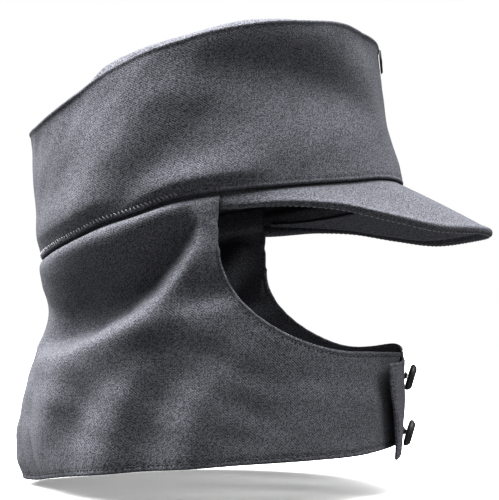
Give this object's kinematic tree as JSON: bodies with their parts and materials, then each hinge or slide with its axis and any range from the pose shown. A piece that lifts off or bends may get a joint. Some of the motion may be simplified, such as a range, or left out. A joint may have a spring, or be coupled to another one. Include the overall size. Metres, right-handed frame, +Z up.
{
  "type": "field cap with neck flap",
  "caption": "Wool field cap with a high rear-sloping crown, stiff peak and a neck flap folded down and buttoned under the chin.",
  "frame": {"origin": "middle of the head opening at headband height, where a head carries the cap", "axes": "the wearer looks along -Y, so the peak is at -Y and the nape at +Y; +X is the wearer's left; +Z is up"},
  "size_m": [0.1768, 0.2851, 0.2681],
  "materials": {
    "wool": "slate grey melange twill, slightly fuzzy",
    "lining": "dark grey plain cloth",
    "button": "dark grey, satin",
    "thread": "grey sewing thread",
    "cockade": "dark, dull"
  },
  "bodies": {
    "root": {"crown_side": "wool", "crown_top": "wool", "neck_flap": "wool", "peak_cover": "wool", "peak_lining": "lining", "button_upper": "button", "button_upper_shank": "thread", "button_lower": "button", "button_lower_shank": "thread", "cockade": "cockade"}
  },
  "joints": []
}
